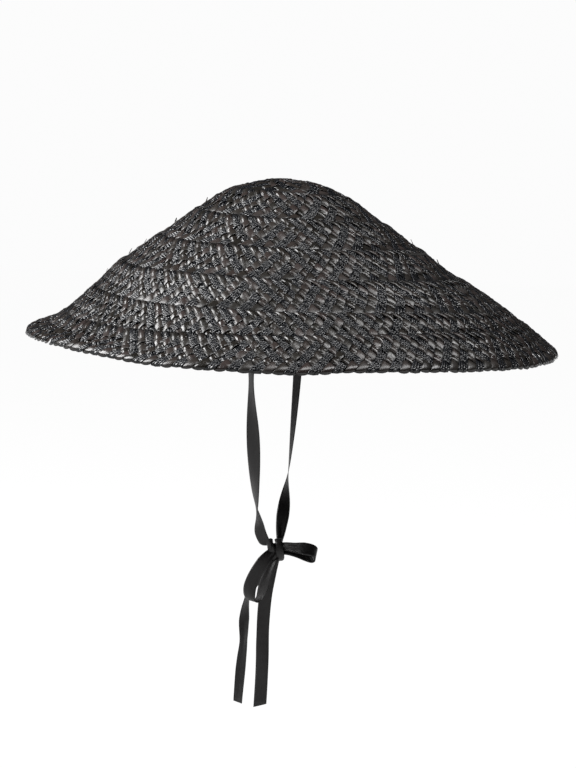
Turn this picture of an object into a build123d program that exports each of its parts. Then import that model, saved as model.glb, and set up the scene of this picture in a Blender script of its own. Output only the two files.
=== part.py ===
from build123d import *
import math
import os

# A conical sun hat sewn from one long straw braid, wound from the tip outwards, with a bandeau
# and sweatband inside and a ribbon tie at each side, tied in a bow below.
# Millimetres. +Z points to the tip, +Y to the back of the head, and X runs from ear to ear.
# The origin is the centre of the head opening, in the plane of the sweatband's lower edge.

# Driving dimensions of the crown
RIM_RADIUS = 200.0
RIM_Z = -36.0
DOME_RADIUS = 90.0
DOME_ANGLE = 34.5
RIM_ANGLE = 37.7

# The braid and how its turns lap
BRAID_WIDTH = 38.0
BRAID_THICK = 1.6
ROW_COUNT = 7
LAP_GAP = 0.3
END_TUCK_ANGLE = 12.0
END_TUCK_AZIMUTH = -86.0
END_TUCK_MARGIN = 5.0

# The head opening: a 57 cm oval, narrower from ear to ear
HEAD_HALF_X = 84.0
HEAD_HALF_Y = 97.5
SWEATBAND_HEIGHT = 28.0
SWEATBAND_THICK = 0.8
BANDEAU_THICK = 1.5
BANDEAU_LOW_Z = 1.5

# Thread
THREAD = 0.8
BAND_STITCHES = 72
BAND_STITCH_LENGTH = 4.0
BAND_STITCH_Z = 3.0
TACK_COUNT = 24
TACK_LENGTH = 5.0

# Ribbon ties. A tube stands for a hanging ribbon, about as thick as the ribbon loosely folded.
RIBBON_WIDTH = 10.0
RIBBON_TUBE = 6.0
TIE_Y = -12.0
TIE_PIVOT_Z = -5.0
TIE_END_TOP_Z = 16.0
TIE_END_THICK = 1.2
RUNNING_GAP = 0.3

# Worked out from the driving dimensions
DOME_LENGTH = DOME_RADIUS * math.radians(DOME_ANGLE)
DOME_EDGE_R = DOME_RADIUS * math.sin(math.radians(DOME_ANGLE))
DOME_DROP = DOME_RADIUS * (1 - math.cos(math.radians(DOME_ANGLE)))
MEAN_FLANK_ANGLE = math.radians((DOME_ANGLE + RIM_ANGLE) / 2)
FLANK_CHORD = (RIM_RADIUS - DOME_EDGE_R) / math.cos(MEAN_FLANK_ANGLE)
FLANK_TURN = math.radians(RIM_ANGLE - DOME_ANGLE)
FLANK_RADIUS = FLANK_CHORD / (2 * math.sin(FLANK_TURN / 2))
SLOPE_LENGTH = DOME_LENGTH + FLANK_RADIUS * FLANK_TURN
CROWN_HEIGHT = DOME_DROP + FLANK_CHORD * math.sin(MEAN_FLANK_ANGLE)
TIP_Z = RIM_Z + CROWN_HEIGHT
ROW_PITCH = SLOPE_LENGTH / ROW_COUNT
ROW_LAP = BRAID_WIDTH - ROW_PITCH
ROW_TILT = (BRAID_THICK + LAP_GAP) / ROW_PITCH


def oval_half_x(inset, y):
    """Half the head opening's width at y, on the oval that lies inset inside it."""
    return (HEAD_HALF_X - inset) * math.sqrt(1 - (y / (HEAD_HALF_Y - inset)) ** 2)


def slope_point(s, out):
    """Radius and height at slope distance s from the tip, out along the outward normal."""
    if s <= DOME_LENGTH:
        angle = s / DOME_RADIUS
        r = DOME_RADIUS * math.sin(angle)
        z = TIP_Z - DOME_RADIUS * (1 - math.cos(angle))
    else:
        start = math.radians(DOME_ANGLE)
        angle = start + (s - DOME_LENGTH) / FLANK_RADIUS
        r = DOME_EDGE_R + FLANK_RADIUS * (math.sin(angle) - math.sin(start))
        z = TIP_Z - DOME_DROP - FLANK_RADIUS * (math.cos(start) - math.cos(angle))
    return r + out * math.sin(angle), z + out * math.cos(angle)


def row_section(s_top, s_low, under):
    """The braid's section from s_top to s_low. Its outer face sinks by one braid thickness
    over each row pitch, so that every row lies over the row above it. under shifts it inwards."""
    spans = 4
    inner = []
    outer = []
    for i in range(spans + 1):
        s = s_top + (s_low - s_top) * i / spans
        from_row_top = s - row_seam(s_low) + ROW_LAP
        rise = ROW_TILT * (ROW_PITCH / 2 - from_row_top) - BRAID_THICK / 2 - under
        for face_points, out in ((inner, rise), (outer, rise + BRAID_THICK)):
            r, z = slope_point(s, out)
            face_points.append((r, 0, z))
    outline = [
        Spline(*inner),
        Line(inner[-1], outer[-1]),
        Spline(*outer),
        Line(outer[0], inner[0]),
    ]
    return make_face(Wire(outline))


def row_seam(s_low):
    """Where the row that ends at or after s_low begins to show."""
    row = math.ceil(s_low / ROW_PITCH - 1e-6)
    return (row - 1) * ROW_PITCH


def braid_row(row):
    """One turn of the braid, a lapped ring. Row 1 closes at the tip."""
    s_top = max((row - 1) * ROW_PITCH - ROW_LAP, 0.0)
    return revolve(row_section(s_top, row * ROW_PITCH, 0.0), Axis.Z)


def braid_end_tuck():
    """The braid's last few centimetres, turned under the rim row."""
    s_top = SLOPE_LENGTH - ROW_PITCH + END_TUCK_MARGIN
    s_low = SLOPE_LENGTH - END_TUCK_MARGIN
    section = row_section(s_top, s_low, BRAID_THICK + LAP_GAP)
    sector = revolve(section, Axis.Z, revolution_arc=END_TUCK_ANGLE)
    return sector.rotate(Axis.Z, END_TUCK_AZIMUTH - END_TUCK_ANGLE / 2)


def lap_stitching():
    """The thread that sews each lap, on the inside, one ring for each seam."""
    rings = []
    for seam in range(1, ROW_COUNT):
        s = seam * ROW_PITCH - ROW_LAP / 2
        inner_face = ROW_TILT * (-ROW_LAP / 2 - ROW_PITCH / 2) - BRAID_THICK / 2
        r, z = slope_point(s, inner_face - THREAD / 2 - RUNNING_GAP)
        rings.append(Pos(0, 0, z) * Torus(r, THREAD / 2))
    return Compound(children=rings)


def oval_ring(inner_x, inner_y, thick, low, high):
    """An upright oval band with its inner face on the given half widths."""
    outer = extrude(Ellipse(inner_x + thick, inner_y + thick), high - low)
    inner = extrude(Ellipse(inner_x, inner_y), high - low)
    return Pos(0, 0, low) * (outer - inner)


def under_crown():
    """The space below the braid's inner faces, as a solid."""
    clear = ROW_TILT * ROW_PITCH / 2 + BRAID_THICK / 2 + THREAD + 2 * RUNNING_GAP
    stops = [0.0, DOME_LENGTH / 2, DOME_LENGTH, (DOME_LENGTH + SLOPE_LENGTH) / 2, SLOPE_LENGTH]
    points = []
    for s in stops:
        r, z = slope_point(s, -clear)
        points.append((r, 0, z))
    tip, dome, edge, flank, rim = points
    foot = (0, 0, rim[2])
    dome_arc = ThreePointArc(tip, dome, edge)
    flank_arc = ThreePointArc(edge, flank, rim)
    outline = Wire([dome_arc, flank_arc, Line(rim, foot), Line(foot, tip)])
    return revolve(make_face(outline), Axis.Z)


def bandeau():
    """The stiff oval ring that holds the crown off the head, cut to meet the braid."""
    inner_x = HEAD_HALF_X + SWEATBAND_THICK
    inner_y = HEAD_HALF_Y + SWEATBAND_THICK
    tall = oval_ring(inner_x, inner_y, BANDEAU_THICK, BANDEAU_LOW_Z, TIP_Z)
    return tall & under_crown()


def sweatband():
    """The ribbon band against the head, inside the bandeau."""
    return oval_ring(HEAD_HALF_X, HEAD_HALF_Y, SWEATBAND_THICK, 0.0, SWEATBAND_HEIGHT)


def oval_place(turn, half_x, half_y, z):
    """A frame on the oval at a turn in degrees: x along the oval, z up."""
    angle = math.radians(turn)
    x = half_x * math.cos(angle)
    y = half_y * math.sin(angle)
    along = Vector(-half_x * math.sin(angle), half_y * math.cos(angle), 0)
    inward = Vector(0, 0, 1).cross(along)
    return Plane(origin=(x, y, z), x_dir=along, z_dir=inward)


def sweatband_stitching():
    """The row of stitches near the sweatband's lower edge, on the head side."""
    stitches = []
    half_x = HEAD_HALF_X - THREAD / 2 - RUNNING_GAP
    half_y = HEAD_HALF_Y - THREAD / 2 - RUNNING_GAP
    stitch = Rot(0, 90, 0) * Cylinder(THREAD / 2, BAND_STITCH_LENGTH)
    for i in range(BAND_STITCHES):
        turn = 360 * (i + 0.5) / BAND_STITCHES
        if abs(half_y * math.sin(math.radians(turn)) - TIE_Y) > RIBBON_WIDTH:
            stitches.append(oval_place(turn, half_x, half_y, BAND_STITCH_Z).location * stitch)
    return Compound(children=stitches)


def bandeau_tacks():
    """Hand tacks near the bandeau's upper edge, above the sweatband."""
    tacks = []
    half_x = HEAD_HALF_X + SWEATBAND_THICK - THREAD / 2 - RUNNING_GAP
    half_y = HEAD_HALF_Y + SWEATBAND_THICK - THREAD / 2 - RUNNING_GAP
    tack_z = SWEATBAND_HEIGHT + RUNNING_GAP + TACK_LENGTH / 2
    tack = Rot(90, 0, 0) * Cylinder(THREAD / 2, TACK_LENGTH)
    for i in range(TACK_COUNT):
        turn = 360 * (i + 0.5) / TACK_COUNT
        tacks.append(oval_place(turn, half_x, half_y, tack_z).location * tack)
    return Compound(children=tacks)


def tie_end(side):
    """A ribbon's sewn end, flat on the sweatband, with a round foot about the swing's axis."""
    inner_x = HEAD_HALF_X - TIE_END_THICK
    inner_y = HEAD_HALF_Y - TIE_END_THICK
    foot_z = TIE_PIVOT_Z - RIBBON_WIDTH / 2
    band = oval_ring(inner_x, inner_y, TIE_END_THICK, foot_z, TIE_END_TOP_Z)
    straight_height = TIE_END_TOP_Z - TIE_PIVOT_Z
    strip = Pos(0, TIE_PIVOT_Z + straight_height / 2) * Rectangle(RIBBON_WIDTH, straight_height)
    foot = Pos(0, TIE_PIVOT_Z) * Circle(RIBBON_WIDTH / 2)
    upright = Plane(origin=(0, TIE_Y, 0), x_dir=(0, 1, 0), z_dir=(1, 0, 0))
    cutter = extrude(upright * (strip + foot), side * (HEAD_HALF_X + RIBBON_WIDTH))
    return band & cutter


def tie_tack(side):
    """The two crossed stitches that hold a sewn end."""
    reach = RIBBON_WIDTH * 0.7
    x = side * (oval_half_x(TIE_END_THICK + THREAD / 2 + RUNNING_GAP, TIE_Y - reach / 2))
    z = (TIE_END_TOP_Z + TIE_PIVOT_Z) / 2 + THREAD
    bar = Cylinder(THREAD / 2, reach)
    return Pos(x, TIE_Y, z) * (Rot(45, 0, 0) * bar + Rot(-45, 0, 0) * bar)


# Each ribbon's route, in runs that a tube follows with one arc at each turn
TIE_START_X = oval_half_x(TIE_END_THICK / 2, TIE_Y)
TIE_START_Z = TIE_PIVOT_Z - RIBBON_WIDTH / 2 - RUNNING_GAP
RIGHT_TIE = [
    (TIE_START_X, TIE_Y, TIE_START_Z),
    (79.5, -12.5, -57),
    (65.5, -13.0, -105),
    (45.5, -16.0, -147.5),
    (22.5, -18.5, -176.5),
    (6.5, -15.0, -193),
]
LEFT_TIE = [
    (-TIE_START_X, TIE_Y, TIE_START_Z),
    (-80.5, -12.2, -56),
    (-68.0, -12.6, -104),
    (-49.5, -12.0, -145.5),
    (-25.0, -11.0, -176.5),
    (-6.5, -8.5, -188.5),
]
LEFT_TAIL = [
    (-3.0, -14.5, -201),
    (-4.6, -25.5, -217),
    (-5.6, -34.3, -235),
    (-5.3, -36.3, -257),
    (-5.0, -37.2, -289),
    (-4.8, -39.4, -320),
]
RIGHT_TAIL = [
    (2.3, -10.5, -203),
    (1.8, -15.1, -219),
    (0.9, -18.0, -236.5),
    (0.6, -19.3, -261),
    (-0.2, -19.2, -290.7),
    (-0.8, -20.8, -320),
]

# The bow: its knot, and the outer shape of each loop from the knot to the loop's end
KNOT_CENTRE = (0.0, -10.0, -195.5)
KNOT_SIZE = (15.0, 13.0, 18.0)
KNOT_ROUND = 3.0
LOOP_DEPTH = 8.0
LOOP_ROUND = 2.5
LEFT_LOOP = [(11.0, -16.8, -205.5), (11.0, -22.5, -223.5)]
LEFT_LOOP_WIDTH = 17.0
RIGHT_LOOP = [(3.0, 1.5, -193.5), (3.0, 15.0, -196.0)]
RIGHT_LOOP_WIDTH = 15.0


def ribbon_tube(name, route):
    """A tube of straight runs and tangent arcs, as large as the runs beside each turn allow."""
    points = [Vector(*p) for p in route]
    runs = [b - a for a, b in zip(points, points[1:])]
    radii = []
    for run, following in zip(runs, runs[1:]):
        half_turn = math.radians(run.get_angle(following) / 2)
        radii.append(0.45 * min(run.length, following.length) / math.tan(half_turn))
    path = FilletPolyline(*points, radius=radii)
    section = Plane(origin=path @ 0, z_dir=path % 0) * Circle(RIBBON_TUBE / 2)
    tube = sweep(section, path=path)
    ratio = tube.volume / (math.pi * RIBBON_TUBE**2 / 4 * path.length)
    print(name, "length", round(path.length, 1), "volume ratio", round(ratio, 4))
    print("  arc radii", [round(radius) for radius in radii])
    return tube


def bow_knot():
    knot = Pos(*KNOT_CENTRE) * Box(*KNOT_SIZE)
    return fillet(knot.edges(), KNOT_ROUND)


def bow_loop(ends, width):
    """The outer shape of one loop, a rounded slab about the line between its two ends."""
    near, far = [Vector(*end) for end in ends]
    along = far - near
    middle = (near + far) * 0.5
    slab_plane = Plane(origin=middle, x_dir=along, z_dir=(1, 0, 0))
    slab = extrude(slab_plane * SlotCenterToCenter(along.length, width), LOOP_DEPTH / 2, both=True)
    return fillet(slab.edges(), LOOP_ROUND)


nodes = {"braid_end_tuck": braid_end_tuck(), "lap_stitching": lap_stitching()}
for row in range(1, ROW_COUNT + 1):
    nodes[f"braid_row_{row}"] = braid_row(row)
nodes["bandeau"] = bandeau()
nodes["bandeau_tacks"] = bandeau_tacks()
nodes["sweatband"] = sweatband()
nodes["sweatband_stitching"] = sweatband_stitching()
for side_name, side in (("left", -1), ("right", 1)):
    nodes[f"tie_end_{side_name}"] = tie_end(side)
    nodes[f"tie_tack_{side_name}"] = tie_tack(side)
nodes["tie_ribbon_left"] = ribbon_tube("tie_ribbon_left", LEFT_TIE)
nodes["tie_ribbon_right"] = ribbon_tube("tie_ribbon_right", RIGHT_TIE)
nodes["bow_knot"] = bow_knot()
nodes["bow_loop_left"] = bow_loop(LEFT_LOOP, LEFT_LOOP_WIDTH)
nodes["bow_loop_right"] = bow_loop(RIGHT_LOOP, RIGHT_LOOP_WIDTH)
nodes["tie_tail_left"] = ribbon_tube("tie_tail_left", LEFT_TAIL)
nodes["tie_tail_right"] = ribbon_tube("tie_tail_right", RIGHT_TAIL)

for node_name, shape in nodes.items():
    export_step(shape, f"parts/{node_name}.step")

print("row pitch", round(ROW_PITCH, 2), "lap", round(ROW_LAP, 2), "tip z", round(TIP_Z, 2))
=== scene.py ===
import math
import bpy
import numpy as np
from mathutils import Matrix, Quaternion, Vector


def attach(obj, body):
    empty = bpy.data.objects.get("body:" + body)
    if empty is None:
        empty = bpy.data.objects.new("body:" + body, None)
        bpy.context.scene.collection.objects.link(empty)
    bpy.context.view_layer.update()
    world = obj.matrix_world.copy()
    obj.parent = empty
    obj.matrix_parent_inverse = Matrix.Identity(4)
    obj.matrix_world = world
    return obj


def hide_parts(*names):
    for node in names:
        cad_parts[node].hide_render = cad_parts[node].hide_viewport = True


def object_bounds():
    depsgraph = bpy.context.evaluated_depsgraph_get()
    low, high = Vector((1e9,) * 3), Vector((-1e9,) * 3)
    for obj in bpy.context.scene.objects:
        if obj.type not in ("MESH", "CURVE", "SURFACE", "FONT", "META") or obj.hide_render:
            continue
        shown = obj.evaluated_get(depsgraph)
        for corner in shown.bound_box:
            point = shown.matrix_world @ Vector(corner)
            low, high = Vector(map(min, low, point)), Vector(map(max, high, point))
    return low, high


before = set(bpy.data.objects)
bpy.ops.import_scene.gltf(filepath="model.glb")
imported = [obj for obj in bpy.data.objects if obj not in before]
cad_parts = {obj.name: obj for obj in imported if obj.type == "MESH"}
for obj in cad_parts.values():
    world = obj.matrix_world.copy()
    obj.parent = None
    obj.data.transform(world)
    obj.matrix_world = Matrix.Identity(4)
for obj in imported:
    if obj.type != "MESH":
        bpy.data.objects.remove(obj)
CAD_LOW, CAD_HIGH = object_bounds()

# The crown's shape, as the CAD rows have it: a dome arc and a gently turning flank
RIM_RADIUS = 0.200
RIM_Z = -0.036
DOME_RADIUS = 0.090
DOME_ANGLE = math.radians(34.5)
RIM_ANGLE = math.radians(37.7)
ROWS = 7
BRAID_WIDTH = 0.038
DOME_LENGTH = DOME_RADIUS * DOME_ANGLE
DOME_EDGE_R = DOME_RADIUS * math.sin(DOME_ANGLE)
DOME_DROP = DOME_RADIUS * (1 - math.cos(DOME_ANGLE))
FLANK_MEAN = (DOME_ANGLE + RIM_ANGLE) / 2
FLANK_CHORD = (RIM_RADIUS - DOME_EDGE_R) / math.cos(FLANK_MEAN)
FLANK_RADIUS = FLANK_CHORD / (2 * math.sin((RIM_ANGLE - DOME_ANGLE) / 2))
SLOPE = DOME_LENGTH + FLANK_RADIUS * (RIM_ANGLE - DOME_ANGLE)
TIP_Z = RIM_Z + DOME_DROP + FLANK_CHORD * math.sin(FLANK_MEAN)
PITCH = SLOPE / ROWS

# How the braid lies on the crown, in metres
BRAID_LIFT = 0.0009
TUCK_DEPTH = 0.0011
SINK_START = 0.0030
TOP_PRESS = 0.0004
PRESS_BAND = (PITCH - 0.001, PITCH + 0.002)
RIM_CURL_DEPTH = 0.0010
RIM_CURL_REACH = 0.0050
EDGE_WOBBLE = 0.00030
# The shares of the last turn between which its end dives under the rim row
END_DIVE = (0.80, 0.88)

# The crown's own unevenness, in metres, and the radii between which each part of it fades
CROWN_LEAN = 0.0095
LEAN_FADE = (0.118, 0.162)
TIP_SLUMP = 0.0021
SLUMP_FADE = (0.01, 0.06)
RIM_TILT = 0.0175
TILT_START = 0.085
BRIM_FLARE = 0.0048
FLARE_BAND = (0.178, 0.2)
BRIM_HOLLOW = 0.0020
HOLLOW_SPREAD = 0.014
FLARE_REACH = 0.16
# Each swell of the rim's near edge: its place to the right, its spread and its rise
RIM_SWELLS = ((0.095, 0.045, 0.0024), (0.045, 0.035, 0.0020), (-0.095, 0.035, -0.0020))

# The plait: the strands' sizes in metres, and how far each one wanders
STRANDS = 7
STRAND_WIDTH = 0.0064
STRAND_SPACING = 0.0072
WEAVE_HEIGHT = 0.00085
ACROSS_WANDER = 0.0006
ALONG_WANDER = 0.0005
HEIGHT_WANDER = 0.00015
WIDTH_WANDER = 0.10
TRAVERSE = 0.0368
STEPS_PER_TRAVERSE = 21
SELVEDGE_BULGE = 0.0005
BULGE_WANDER = 0.6
SELVEDGE_PINCH = 0.08
STRAND_ROLL = 0.22
STRAW_THICK = 0.001
STRAND_PERIOD = STRANDS * STRAND_SPACING
STRAND_ANGLE = math.atan2(TRAVERSE, STRAND_PERIOD / 2)
# The strands that are crimped straw; the others are smooth
CRIMPED_STRANDS = (1, 3, 5)

# The spiral, in turns from the tip
WIND_START = math.radians(-90)
FIRST_TURN = 0.12
LAST_TURN = 7.97
TUCK_TURNS = 0.12
PIECE_CUT = -0.215
# Each loose end: turns from the tip, metres up the braid, and its slant in radians
LOOSE_ENDS = (
    (4.03, 0.006, 1.2), (4.06, 0.021, 2.0), (5.02, 0.012, 1.7), (3.04, 0.016, 0.8), (2.05, 0.010, 2.3),
    (3.53, 0.009, 1.3), (4.52, 0.019, 2.4), (5.21, 0.024, 0.6), (6.16, 0.011, 2.6), (4.90, 0.014, 1.0),
)
END_REACH = (0.0025, 0.0045)
END_WIDTH = 0.0013
END_HEIGHT = 0.0014
END_RISE = 0.0016
END_THICK = 0.0006
END_STATIONS = 7
END_TONE = 0.8

VIEW_AZIMUTH = math.radians(102.5)
VIEW_ELEVATION = math.radians(6.1)
VIEW_DISTANCE = 1.5
VIEW_ROLL = math.radians(1.0)
LENS = 92.9
AIM_LEFT = 0.0026
AIM_DOWN = 0.031

# The directions that the ribbons' stops and the rim's swells are given in
RIGHTWARD = Vector((math.cos(VIEW_AZIMUTH), math.sin(VIEW_AZIMUTH), 0))
FORWARD = Vector((math.sin(VIEW_AZIMUTH), -math.cos(VIEW_AZIMUTH), 0))
UPWARD = Vector((0, 0, 1))


def heading(azimuth, elevation):
    """The direction from the hat at an azimuth and an elevation."""
    level = Vector((math.sin(azimuth), -math.cos(azimuth), 0)) * math.cos(elevation)
    return level + UPWARD * math.sin(elevation)


def make_camera():
    """Looks at the hat from one side of the head, a little from above."""
    rim_centre = Vector((0, 0, RIM_Z))
    camera = bpy.data.objects.new("camera", bpy.data.cameras.new("camera"))
    camera.data.sensor_width = 36
    camera.data.lens = LENS
    camera.location = rim_centre + heading(VIEW_AZIMUTH, VIEW_ELEVATION) * VIEW_DISTANCE
    aim = rim_centre - RIGHTWARD * AIM_LEFT - UPWARD * AIM_DOWN
    look = (aim - camera.location).to_track_quat("-Z", "Y")
    camera.rotation_mode = "QUATERNION"
    camera.rotation_quaternion = look @ Quaternion((0, 0, 1), VIEW_ROLL)
    bpy.context.scene.collection.objects.link(camera)
    bpy.context.scene.camera = camera


make_camera()


# ---------------------------------------------------------------- node helpers
def new_material(name):
    """A material with its node tree and its shader."""
    material = bpy.data.materials.new(name)
    material.use_nodes = True
    tree = material.node_tree
    return material, tree, tree.nodes["Principled BSDF"]


def add_node(tree, kind, **settings):
    """A node with some of its settings changed."""
    node = tree.nodes.new(kind)
    for key, value in settings.items():
        setattr(node, key, value)
    return node


def math_node(tree, operation, a, b=None, c=None):
    """The result of a sum on numbers or other nodes' results."""
    node = add_node(tree, "ShaderNodeMath", operation=operation)
    for socket, value in zip(node.inputs, (a, b, c)):
        if value is None:
            continue
        if isinstance(value, (int, float)):
            socket.default_value = value
        else:
            tree.links.new(value, socket)
    return node.outputs[0]


def mix_colour(tree, factor, a, b):
    """A blend from colour a to colour b, each a tuple or another node's result."""
    node = add_node(tree, "ShaderNodeMix", data_type="RGBA")
    tree.links.new(factor, node.inputs[0])
    for socket, value in ((node.inputs[6], a), (node.inputs[7], b)):
        if isinstance(value, tuple):
            socket.default_value = (*value, 1)
        else:
            tree.links.new(value, socket)
    return node.outputs[2]


def ramp(tree, value, low, high, to_low, to_high):
    """A value taken from one range to another, and held at its ends."""
    node = tree.nodes.new("ShaderNodeMapRange")
    tree.links.new(value, node.inputs["Value"])
    for name, number in (("From Min", low), ("From Max", high), ("To Min", to_low), ("To Max", to_high)):
        node.inputs[name].default_value = number
    return node.outputs["Result"]


def scaled_uv(tree, along, across):
    """The piece's own (metres along, share across) coordinates, scaled."""
    uv = add_node(tree, "ShaderNodeUVMap", uv_map="strand")
    scale = add_node(tree, "ShaderNodeVectorMath", operation="MULTIPLY")
    scale.inputs[1].default_value = (along, across, 1)
    tree.links.new(uv.outputs[0], scale.inputs[0])
    return scale.outputs[0]


def noise(tree, vector, scale, detail=2.0, roughness=0.5):
    """Smooth random shading, from 0 to 1."""
    node = tree.nodes.new("ShaderNodeTexNoise")
    node.inputs["Scale"].default_value = scale
    node.inputs["Detail"].default_value = detail
    node.inputs["Roughness"].default_value = roughness
    tree.links.new(vector, node.inputs["Vector"])
    return node.outputs["Fac"]


def add_bump(tree, shader, height, distance):
    """Relief so many metres deep on the shader."""
    bump = tree.nodes.new("ShaderNodeBump")
    bump.inputs["Distance"].default_value = distance
    tree.links.new(height, bump.inputs["Height"])
    tree.links.new(bump.outputs[0], shader.inputs["Normal"])


def strand_place(tree):
    """A point's place on its strand or ribbon: metres along, and the share across."""
    uv = add_node(tree, "ShaderNodeUVMap", uv_map="strand")
    parts = tree.nodes.new("ShaderNodeSeparateXYZ")
    tree.links.new(uv.outputs[0], parts.inputs[0])
    return parts.outputs["X"], parts.outputs["Y"]


def off_middle(tree):
    """How far from the strand's middle line a point is, 0 to 0.5."""
    share = strand_place(tree)[1]
    return math_node(tree, "ABSOLUTE", math_node(tree, "SUBTRACT", share, 0.5))


def tone_of(tree):
    """The shade, from 0 to 1, of each stretch of strand that shows between two dives."""
    return add_node(tree, "ShaderNodeAttribute", attribute_name="tone").outputs["Fac"]


def height_of(tree):
    """How far up in the weave a point lies: 0 where a strand dives under, 1 on top, and low on the folds
    at the seams. The straws' colours are darkened by it, as painted shade.
    """
    return add_node(tree, "ShaderNodeAttribute", attribute_name="height").outputs["Fac"]


# ------------------------------------------------------------------- materials
# Metres from one bead or rib to the next, and bands of thread in a metre of cloth
BEAD_PITCH = 0.0017
BEAD_COLUMNS = 3.0
RIB_PITCH = 0.0009
GROSGRAIN_PITCH = 0.0013
CLOTH_SCALE = 260.0
# The dark and the pale colour of each surface
OLIVE_STRAW = ((0.0026, 0.0022, 0.0017), (0.031, 0.027, 0.021))
BROWN_STRAW = ((0.0032, 0.0023, 0.0021), (0.033, 0.024, 0.022))
# Blue straw's pale colour is only reached at the painted glints on its beads and lipped edges
BLUE_STRAW_AND_GLINT = ((0.0010, 0.0012, 0.0020), (0.130, 0.139, 0.160))
CHARCOAL_SATIN = ((0.0030, 0.0024, 0.0026), (0.0125, 0.0112, 0.0114))
BLACK_GROSGRAIN = ((0.0040, 0.0038, 0.0042), (0.021, 0.020, 0.021))
BLACK_BUCKRAM = ((0.0060, 0.0055, 0.0052), (0.024, 0.022, 0.021))
BLACK_THREAD = ((0.0040, 0.0040, 0.0045), (0.030, 0.029, 0.030))


def smooth_straw():
    """Flat glossy straw, dark olive to brown, with a fine grain along it."""
    material, tree, shader = new_material("smooth_straw")
    grain = noise(tree, scaled_uv(tree, 90, 9), 1.0, 3.0, 0.6)
    blotch = noise(tree, scaled_uv(tree, 260, 1.2), 1.0, 2.0)
    tone = tone_of(tree)
    shade = math_node(tree, "MULTIPLY_ADD", grain, 0.5, math_node(tree, "MULTIPLY", tone, 0.75))
    dark = mix_colour(tree, tone, OLIVE_STRAW[0], BROWN_STRAW[0])
    pale = mix_colour(tree, tone, OLIVE_STRAW[1], BROWN_STRAW[1])
    # painted shade where a strand dives under the one crossing it, and on the folds at the seams
    shade = math_node(tree, "MULTIPLY", shade, height_of(tree))
    # painted shade along each strand's edges, where it meets the strands beside it
    shade = math_node(tree, "MULTIPLY", shade, ramp(tree, off_middle(tree), 0.36, 0.50, 1.0, 0.2))
    colour = mix_colour(tree, shade, dark, pale)
    tree.links.new(colour, shader.inputs["Base Color"])
    # roughness: patches along the straw, a different wear for each stretch, and dull where it dives
    patchy = ramp(tree, blotch, 0.3, 0.7, 0.18, 0.28)
    lot = math_node(tree, "FRACT", math_node(tree, "MULTIPLY", tone, 7.3))
    wear = ramp(tree, lot, 0.20, 0.60, 0.0, 0.12)
    dull = ramp(tree, height_of(tree), 0.0, 0.25, 0.20, 0.0)
    rough = math_node(tree, "ADD", patchy, math_node(tree, "ADD", wear, dull))
    tree.links.new(rough, shader.inputs["Roughness"])
    shader.inputs["Specular IOR Level"].default_value = 0.50
    add_bump(tree, shader, grain, 0.00012)
    return material


def textured_straw():
    """Crimped straw, blue black, with staggered columns of small beads, painted glints on the bead tips
    and the lipped edges, and painted shade where it dives under.
    """
    material, tree, shader = new_material("textured_straw")
    length, share = strand_place(tree)
    column = ramp(tree, share, 0.07, 0.93, 0.0, BEAD_COLUMNS)
    odd = math_node(tree, "FLOORED_MODULO", math_node(tree, "FLOOR", column), 2.0)
    half_bead = math_node(tree, "MULTIPLY", odd, math.pi / 2)
    bead_turn = math_node(tree, "MULTIPLY_ADD", length, math.pi / BEAD_PITCH, half_bead)
    column_turn = math_node(tree, "MULTIPLY", column, math.pi)
    along = math_node(tree, "ABSOLUTE", math_node(tree, "SINE", bead_turn))
    across = math_node(tree, "ABSOLUTE", math_node(tree, "SINE", column_turn))
    bead = math_node(tree, "MULTIPLY", along, across)
    # painted glints: the pale colour at each bead's tip and along the two lipped edges
    bead_glint = math_node(tree, "POWER", bead, 10.0)
    lip_glint = ramp(tree, off_middle(tree), 0.43, 0.48, 0.0, 0.42)
    strength = math_node(tree, "MULTIPLY_ADD", tone_of(tree), 0.7, 0.3)
    shade = math_node(tree, "MULTIPLY", math_node(tree, "MAXIMUM", bead_glint, lip_glint), strength)
    # painted shade where the strand dives under the one crossing it, and on the folds at the seams
    shade = math_node(tree, "MULTIPLY", shade, height_of(tree))
    colour = mix_colour(tree, shade, *BLUE_STRAW_AND_GLINT)
    tree.links.new(colour, shader.inputs["Base Color"])
    shader.inputs["Roughness"].default_value = 0.25
    shader.inputs["Specular IOR Level"].default_value = 0.5
    add_bump(tree, shader, bead, 0.00027)
    return material


def satin_ribbon():
    """Charcoal ribbon: fine cross threads, a corded selvedge each side, a soft sheen."""
    material, tree, shader = new_material("satin_ribbon")
    turn = math_node(tree, "MULTIPLY", strand_place(tree)[0], 2 * math.pi / RIB_PITCH)
    rib = math_node(tree, "SINE", turn)
    selvedge = ramp(tree, off_middle(tree), 0.44, 0.47, 0.0, 1.0)
    streak = noise(tree, scaled_uv(tree, 60, 14), 1.0, 3.0, 0.6)
    cloudy = noise(tree, scaled_uv(tree, 45, 1.5), 1.0, 2.0)
    shade = math_node(tree, "MULTIPLY_ADD", streak, 0.5, math_node(tree, "MULTIPLY", cloudy, 0.5))
    shade = math_node(tree, "MULTIPLY_ADD", selvedge, 0.25, shade)
    colour = mix_colour(tree, shade, *CHARCOAL_SATIN)
    tree.links.new(colour, shader.inputs["Base Color"])
    tree.links.new(ramp(tree, cloudy, 0.3, 0.7, 0.40, 0.58), shader.inputs["Roughness"])
    shader.inputs["Specular IOR Level"].default_value = 0.35
    shader.inputs["Sheen Weight"].default_value = 0.10
    shader.inputs["Sheen Roughness"].default_value = 0.4
    height = math_node(tree, "MULTIPLY_ADD", rib, 0.35, math_node(tree, "ADD", selvedge, streak))
    add_bump(tree, shader, height, 0.00010)
    return material


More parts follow.
